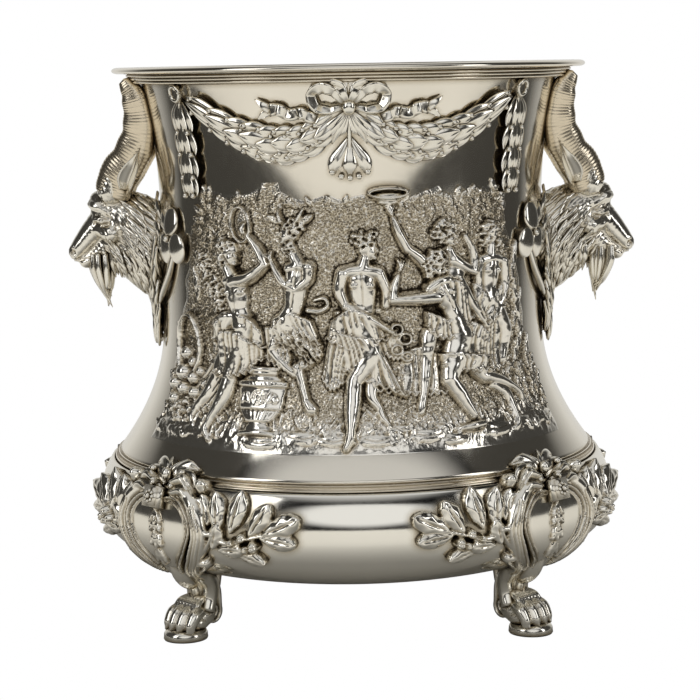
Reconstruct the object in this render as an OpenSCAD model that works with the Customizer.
// Silver champagne bucket: a waisted bucket on a bombe bowl with four paw feet, goat-head
// handles, garlands and a figure frieze, with a lift-out liner held under a loose rim collar.
// Millimetres, +Z up. The origin is on the floor under the centre, and +X runs through a goat head.
// Azimuths are counted from the front face (-Y) towards +X.

/* [Bucket wall] */
// Outer radius of the waist
waist_r = 83.5; // [80:0.5:86]
// Outer radius of the skirt's lower edge
skirt_r = 104.5; // [101:0.5:105]
// Height of the skirt's lower edge
skirt_z = 70; // [69.8:0.1:70.4]
// Outer radius of the mouth
mouth_r = 91.4; // [89:0.2:92]
// Height of the wall's top edge
mouth_z = 231.5; // [228:0.5:231.5]
// Thickness of the silver sheet
sheet_t = 1.5; // [1.2:0.1:2]

/* [Bowl] */
// Widest outer radius of the bowl
bowl_r = 113; // [111:0.5:114]
// Height of the bowl's widest point
bowl_mid_z = 51; // [48:0.5:53]
// Height of the bowl's underside
bowl_floor_z = 20; // [18:0.5:21]
// Height of the bowl's top edge
bowl_top_z = 67; // [66:0.5:68]

/* [Rim and liner] */
// Outer radius of the rolled lip
lip_r = 103; // [101:0.5:105]
// Height of the whole bucket
rim_z = 237; // [236:0.5:240]
// Outer radius of the liner
liner_r = 78; // [74:0.5:78.4]
// Height of the liner's underside
liner_z = 38; // [36:0.5:44]

/* [Feet] */
// Radius of the circle through the paws
paw_circle_r = 98; // [94:0.5:100]
// Azimuth of the first foot
foot_az = 45; // [40:1:50]
// Width of a paw
paw_w = 17.5; // [15:0.5:19]

/* [Goat heads] */
// Distance from the axis to the tip of the nose
nose_r = 124.5; // [120:0.5:127]
// Height of the nose
nose_z = 160; // [156:0.5:163]

/* [Garlands] */
// Azimuth of the rings that the swags hang from
hanger_az = 51; // [45:1:54]
// Height of those rings
hanger_z = 223; // [218:0.5:224]
// Height of a swag's lowest point
swag_low_z = 202; // [198:0.5:206]

/* [Hidden] */

$fn = 96;
silver = [0.80, 0.78, 0.72];
dark_silver = [0.50, 0.48, 0.43];
gilt_silver = [0.70, 0.62, 0.46];

flare_z = 125;              // the skirt's flare starts here
lift_z = 165;               // the mouth's flare starts here
wall_steps = 24;            // cone bands that make up the wall
frieze_first = 2;           // the frieze's lowest band edge
frieze_last = 17;           // the frieze's highest band edge
frieze_span = 72;           // half angle of one frieze
frieze_t = 2.2;
sink = 0.3;                 // how deep a soldered ornament is let into its seat
stud_r = 2.2;
stud_play = 0.2;            // radial clearance of a stud in its hole
foot_stud_r = 84;           // distance of a foot stud from the axis
handle_stud_zs = [134, 156];
gap = 0.3;                  // clearance between loose pieces
flange_t = 1.2;
liner_t = 1;

// ---------- outlines of the round pieces ----------

// Outer radius of the bucket wall at height z
function wall_r(z) = waist_r
    + (z < flare_z ? (skirt_r - waist_r) * pow((flare_z - z) / (flare_z - skirt_z), 2) : 0)
    + (z > lift_z ? (mouth_r - waist_r) * pow((z - lift_z) / (mouth_z - lift_z), 2.6) : 0);

// Outer radius of the bowl at height z, inset by t
function bowl_side_r(z, t = 0) = z > bowl_mid_z
    ? (bowl_r - t) * sqrt(1 - pow((z - bowl_mid_z) / 53, 2))
    : (bowl_r - t) * pow(1 - pow((bowl_mid_z - z) / (bowl_mid_z - bowl_floor_z - t), 3.1), 1 / 3.1);

// Heights from low to high, closer together near the low end
function bowl_heights(low) = [for (a = [0:7.5:90]) bowl_mid_z - (bowl_mid_z - low) * cos(a)];

function reversed(list) = [for (i = [len(list) - 1:-1:0]) list[i]];

// Height of the wall's band edge number i, counted from the skirt
function band_z(i) = lerp(skirt_z, mouth_z, i / wall_steps);

// Outline of the wall between two band edges, from radius offset inner to outer
module wall_band(first, last, inner, outer) {
    heights = [for (i = [first:last]) band_z(i)];
    polygon(concat([for (z = heights) [wall_r(z) + outer, z]],
                   [for (z = reversed(heights)) [wall_r(z) + inner, z]]));
}

// ---------- swept pieces ----------

function lerp(a, b, t) = a + (b - a) * t;
function bezier(p, t) = len(p) == 1 ? p[0]
    : bezier([for (i = [0:len(p) - 2]) lerp(p[i], p[i + 1], t)], t);

// Closed skin over a list of rings that all have the same number of points
module skin(rings) {
    n = len(rings[0]);
    m = len(rings);
    points = [for (r = rings, p = r) p];
    sides = [for (i = [0:m - 2], k = [0:n - 1])
        let(a = i * n + k, b = i * n + (k + 1) % n) [a, b, b + n, a + n]];
    polyhedron(points, concat([[for (k = [n - 1:-1:0]) k]], sides, [[for (k = [0:n - 1]) (m - 1) * n + k]]), 4);
}

// Ring of half width w (along Y) and half depth d, square to a path in the XZ plane
function limb_ring(path, t, w, d, n) = let(
        a = bezier(path, max(t - 0.02, 0)), b = bezier(path, min(t + 0.02, 1)),
        c = bezier(path, t), u = (b - a) / norm(b - a))
    [for (k = [0:n - 1]) let(q = 360 * k / n)
        [c[0] + u[1] * d * sin(q), w * cos(q), c[1] - u[0] * d * sin(q)]];

// Tapering limb along a curve through the XZ plane; widths and depths are tables over 0..1
module limb(path, widths, depths, steps = 8, n = 12) {
    skin([for (i = [0:steps]) let(t = i / steps)
        limb_ring(path, t, lookup(t, widths), lookup(t, depths), n)]);
}

function on_round(r, az, z) = [r * sin(az), -r * cos(az), z];

// Half-round ring standing on the surface surface_r(z) at azimuth az, half_h above and below z
function standing_ring(surface_r, az, z, depth, half_h, n) = [for (k = [0:n - 1])
    let(q = 360 * k / n, height = z + half_h * sin(q))
    on_round(surface_r(height) + max(depth * cos(q), -sink), az, height)];

// Half-round ring lying across the same surface at height z, half_w to each side of azimuth az
function lying_ring(surface_r, az, z, depth, half_w, n) = [for (k = [0:n - 1])
    let(q = 90 + 360 * k / n, r = surface_r(z))
    on_round(r + max(depth * sin(q), -sink), az + half_w * cos(q) / r * 180 / PI, z)];

module at_azimuth(az) rotate([0, 0, az - 90]) children();

// ---------- bucket ----------

module bucket_wall() color(silver) difference() {
    rotate_extrude() wall_band(0, wall_steps, -sheet_t, 0);
    for (az = [90, -90], z = handle_stud_zs)
        at_azimuth(az) translate([waist_r - 10, 0, z]) rotate([0, 90, 0])
            cylinder(r = stud_r + stud_play, h = 20);
}

// Radius at height z of the cone that is the wall's top band
function top_band_r(z) = let(low = band_z(wall_steps - 1))
    lerp(wall_r(low), mouth_r, (z - low) / (mouth_z - low));

// Three reeds that step in towards the neck, seated on the wall's top band
module mouth_moulding() color(gilt_silver) rotate_extrude() {
    reed = 1.5;
    for (i = [0:2]) let(top = mouth_z - i * reed, bottom = top - reed, r = mouth_r + 3.8 - i)
        polygon([[top_band_r(top), top], [r, top], [r, bottom], [top_band_r(bottom), bottom]]);
}

module bowl_moulding() color(gilt_silver) rotate_extrude() {
    bead = (skirt_z - bowl_top_z) / 3;
    polygon([[skirt_r - 4, bowl_top_z], [skirt_r + 2.2, bowl_top_z], [skirt_r + 2.2, bowl_top_z + bead],
             [skirt_r + 0.4, bowl_top_z + bead], [skirt_r - 0.6, skirt_z - bead / 2],
             [skirt_r + 0.6, skirt_z - bead / 2], [skirt_r + 0.6, skirt_z], [skirt_r - 4, skirt_z]]);
}

module bowl_outline(t) {
    heights = concat(bowl_heights(bowl_floor_z + t + 0.001), [for (i = [1:4]) lerp(bowl_mid_z, bowl_top_z, i / 4)]);
    polygon(concat([[0, bowl_floor_z + t]], [for (z = heights) [bowl_side_r(z, t), z]], [[0, bowl_top_z]]));
}

// Places its children on a foot stud's axis, at the bowl's outer surface and square to it
module on_foot_stud(az) at_azimuth(az) {
    low = bowl_mid_z - (bowl_mid_z - bowl_floor_z) * pow(1 - pow(foot_stud_r / bowl_r, 3.1), 1 / 3.1);
    translate([foot_stud_r, 0, low]) rotate([0, -11, 0]) children();
}

module bowl_shell() color(silver) difference() {
    rotate_extrude() difference() {
        bowl_outline(0);
        bowl_outline(sheet_t);
    }
    for (n = [0:3]) on_foot_stud(foot_az + 90 * n)
        translate([0, 0, -6]) cylinder(r = stud_r + stud_play, h = 12);
}

module frieze(az) color(dark_silver) at_azimuth(az) rotate([0, 0, -frieze_span])
    rotate_extrude(angle = 2 * frieze_span) wall_band(frieze_first, frieze_last, 0, frieze_t);

module frieze_front() frieze(0);
module frieze_back() frieze(180);

// ---------- liner and collar ----------

module liner_can() color(silver) rotate_extrude() {
    seat_z = mouth_z + gap;
    polygon([[0, liner_z], [liner_r - 4, liner_z], [liner_r, liner_z + 4], [liner_r, seat_z],
             [mouth_r + 2, seat_z], [mouth_r + 2, seat_z + flange_t], [liner_r - liner_t, seat_z + flange_t],
             [liner_r - liner_t, liner_z + 4.5], [liner_r - 4.5, liner_z + liner_t], [0, liner_z + liner_t]]);
}

module rim_collar() color(silver) rotate_extrude() {
    seat_z = mouth_z + 2 * gap + flange_t;
    roll_r = 2.4;
    difference() {
        translate([liner_r + 1, seat_z]) square([lip_r - roll_r - liner_r - 1, 2.2]);
        translate([liner_r + 12, rim_z + 18]) circle(r = 19.2);
    }
    translate([lip_r - roll_r, rim_z - roll_r]) circle(r = roll_r, $fn = 32);
    translate([liner_r + 2, rim_z - 1.9]) circle(r = 1.3, $fn = 32);
}

// ---------- studs and nuts ----------

module foot_studs() color(dark_silver) for (n = [0:3]) on_foot_stud(foot_az + 90 * n)
    translate([0, 0, -5]) cylinder(r = stud_r, h = 12.5);

module nut(across, h) difference() {
    cylinder(d = across / cos(30), h = h, $fn = 6);
    translate([0, 0, -1]) cylinder(r = stud_r + 0.02, h = h + 2);
}

module foot_nuts() color(gilt_silver) for (n = [0:3]) on_foot_stud(foot_az + 90 * n)
    translate([0, 0, sheet_t + 0.4]) nut(8, 3.6);

module on_handle_stud(az, z) at_azimuth(az) translate([waist_r - sheet_t, 0, z]) rotate([0, -90, 0]) children();

module handle_studs() color(dark_silver) for (az = [90, -90], z = handle_stud_zs) on_handle_stud(az, z)
    translate([0, 0, -9]) cylinder(r = stud_r, h = 11.4);

module handle_nuts() color(gilt_silver) for (az = [90, -90], z = handle_stud_zs) on_handle_stud(az, z)
    translate([0, 0, 0.4]) nut(7.4, 1.9);

// ---------- goat heads ----------

// Solid inside the bucket's waist, used to seat a casting on the wall
module waist_core() translate([0, 0, 110]) cylinder(r = waist_r, h = 76);

// Neck, skull and muzzle, lying in the XZ plane
module goat_skull()
    limb([[waist_r - 4, nose_z - 6], [waist_r + 16, nose_z + 20], [waist_r + 26, nose_z + 18],
          [nose_r - 5, nose_z + 2], [nose_r - 3, nose_z - 1]],
         [[0, 19], [0.35, 17], [0.6, 13], [0.85, 8.5], [1, 5]],
         [[0, 20], [0.35, 16], [0.6, 12], [0.85, 8], [1, 5]], 9, 14);

module goat_head(az) color(silver) difference() {
    at_azimuth(az) {
        goat_skull();
        for (side = [-1, 1]) translate([0, side * 17, 0])
            limb([[waist_r + 16, nose_z + 16], [waist_r + 12, nose_z + 28], [waist_r + 9, nose_z + 36]],
                 [[0, 3], [1, 1.2]], [[0, 4.5], [0.5, 4.5], [1, 1]], 4, 8);
    }
    waist_core();
}

// Fur of the throat, running down the wall to a trail of leaves
module goat_mane(az) color(silver) difference() {
    steps = 8;
    skin([for (i = [0:steps]) let(t = i / steps, z = lerp(nose_z - 54, nose_z - 4, t))
        lying_ring(function(z) wall_r(z), az, z, lookup(t, [[0, 2.5], [0.5, 6], [1, 9]]),
                   lookup(t, [[0, 3], [0.4, 9], [0.7, 17], [1, 18]]), 12)]);
    at_azimuth(az) goat_skull();
}

module goat_beard(az) color(silver) at_azimuth(az)
    limb([[nose_r - 16, nose_z - 2], [nose_r - 10, nose_z - 14], [nose_r - 15, nose_z - 30]],
         [[0, 6.5], [0.5, 5], [1, 1]], [[0, 6], [0.5, 4.5], [1, 1]], 6, 10);

// Ringed horn, leaning sideways so that it hugs the neck
module goat_horn(az, side) color(gilt_silver) at_azimuth(az) {
    path = [[106, 180], [109, 196], [93, 206], [87, 218], [95.5, 228.5]];
    steps = 12;
    skin([for (i = [0:steps]) let(t = i / steps,
            swell = 1 + 0.07 * (i % 2), w = lerp(8, 4.3, t) * swell)
        [for (p = limb_ring(path, t, w, w, 12)) p + [0, side * lerp(9, 17, t), 0]]]);
}

// ---------- garlands ----------

function swag_z(u) = let(top = lerp(hanger_z - 4, hanger_z - 6, u))
    top - (top - swag_low_z) * (1 - pow(2 * u - 1, 2));

module swag(face_az, side) color(silver) {
    steps = 14;
    skin([for (i = [0:steps])
        let(j = side > 0 ? i : steps - i, u = j / steps, az = face_az + side * lerp(9, hanger_az - 4, u),
            bulge = 1 + 0.25 * (j % 2))
        standing_ring(function(z) wall_r(z), az, swag_z(u), 3.4 * bulge, 5.2 * bulge, 8)]);
}

module leaf_drop(az) color(silver) {
    steps = 7;
    skin([for (i = [0:steps]) let(u = i / steps, w = lerp(1.5, 5.5, u) * (1 + 0.2 * (i % 2)))
        lying_ring(function(z) wall_r(z), az, lerp(186, hanger_z - 1, u), 3, w, 8)]);
}

// Places its children on the wall, with their Z pointing out of it
module on_wall(az, z) at_azimuth(az) translate([wall_r(z), 0, z]) rotate([90, 0, 90]) children();

// Tapering loop or tail of ribbon, along Y from the knot
module ribbon(length, start_r, end_r) hull() {
    sphere(r = start_r, $fn = 14);
    translate([0, length, 0]) sphere(r = end_r, $fn = 14);
}

module bow(az) color(silver) on_wall(az, 220) translate([0, 0, 1.6]) {
    ribbon(5.5, 2.6, 3.4);
    for (turn = [-70, 70]) rotate([0, 0, turn]) ribbon(9, 2.6, 4.2);
    for (turn = [-96, 96]) rotate([0, 0, turn]) ribbon(25, 2.2, 1.4);
}

module bud_pendant(az) color(silver) on_wall(az, 203) {
    translate([0, 0, 1]) rotate([90, 0, 0]) cylinder(r = 1.2, h = 24, center = true, $fn = 16);
    for (side = [-1, 0, 1]) rotate([0, 0, side * 28]) translate([0, -8.5, 1.5]) sphere(r = 2.8, $fn = 24);
}

// ---------- feet ----------

module paw(az) color(gilt_silver) at_azimuth(az) translate([paw_circle_r, 0, 0]) {
    linear_extrude(2.4) hull() for (x = [-1.2, 1.2]) translate([x, 0]) circle(r = paw_w / 2 + 0.8);
    intersection() {
        hull() {
            translate([-4, 0, 6]) sphere(r = paw_w / 2 - 1, $fn = 24);
            translate([3, 0, 4.5]) sphere(r = paw_w / 2 - 2, $fn = 24);
        }
        translate([-20, -20, 2.4]) cube([40, 40, 10.6]);
    }
    for (toe = [-1.5:1:1.5]) translate([7 - abs(toe) * 1.2, toe * paw_w / 4.4, 4.6]) sphere(r = 2.6, $fn = 20);
}

module leg(az) color(silver) at_azimuth(az)
    limb([[paw_circle_r - 4, 13], [paw_circle_r - 3, 20], [paw_circle_r + 8, 23], [paw_circle_r + 12, 34]],
         [[0, 6.5], [0.4, 7.5], [0.75, 11], [1, 14]], [[0, 6], [0.5, 5.5], [1, 3]], 8, 12);

module scroll(az) color(gilt_silver) at_azimuth(az) {
    limb([[paw_circle_r - 5, 23.5], [paw_circle_r - 15, 22.5], [paw_circle_r - 18, 18], [paw_circle_r - 16, 13]],
         [[0, 5], [1, 4.2]], [[0, 3], [1, 2.4]], 6, 8);
    translate([paw_circle_r - 13, 0, 12]) rotate([90, 0, 0]) cylinder(r = 4.2, h = 9.4, center = true);
}

module shield(az) color(silver) {
    steps = 9;
    skin([for (i = [0:steps]) let(t = i / steps)
        lying_ring(function(z) bowl_side_r(z), az, lerp(31, 65, t),
                   lookup(t, [[0, 2.5], [0.5, 5], [1, 2.5]]),
                   lookup(t, [[0, 10], [0.3, 19], [0.6, 24], [0.9, 18], [1, 9]]), 14)]);
}

module rosette(az) color(silver) at_azimuth(az) {
    translate([bowl_side_r(62) + 3.6, 0, 61]) rotate([0, 62, 0]) difference() {
        cube([9, 9, 3.4], center = true);
        translate([0, 0, 1.2]) cylinder(r = 3, h = 2, $fn = 24);
    }
    limb([[bowl_side_r(66) + 1, 66], [skirt_r + 4.6, 72], [skirt_r + 1, 76]],
         [[0, 5], [0.5, 7], [1, 1.5]], [[0, 2.2], [1, 1.2]], 5, 10);
}

// Leaves spreading from a shield, lying on the bowl on both sides of it
module leaf_spray(az) color(silver) for (side = [-1, 1]) {
    steps = 8;
    skin([for (i = [0:steps])
        let(j = side > 0 ? i : steps - i, u = j / steps, h = lerp(13, 4, u) * (1 + 0.12 * (j % 2)))
        standing_ring(function(z) bowl_side_r(z), az + side * lerp(12, 33, u), lerp(49, 53, u),
                      lerp(4, 2.6, u), h, 10)]);
}

// ---------- parts ----------

bucket_wall();
mouth_moulding();
bowl_shell();
bowl_moulding();
frieze_front();
frieze_back();
liner_can();
rim_collar();
foot_studs();
foot_nuts();
handle_studs();
handle_nuts();
for (side = ["right", "left"]) {
    az = side == "right" ? 90 : -90;
    goat_head(az);
    goat_mane(az);
    goat_beard(az);
    goat_horn(az, -sign(az));
    goat_horn(az, sign(az));
}
for (face = ["front", "back"]) {
    az = face == "front" ? 0 : 180;
    bow(az);
    bud_pendant(az);
    swag(az, -1);
    swag(az, 1);
}
for (n = [1:4]) {
    az = foot_az + 90 * (n - 1);
    drop_az = [hanger_az, 180 - hanger_az, 180 + hanger_az, -hanger_az][n - 1];
    leaf_drop(drop_az);
    paw(az);
    leg(az);
    scroll(az);
    shield(az);
    rosette(az);
    leaf_spray(az);
}
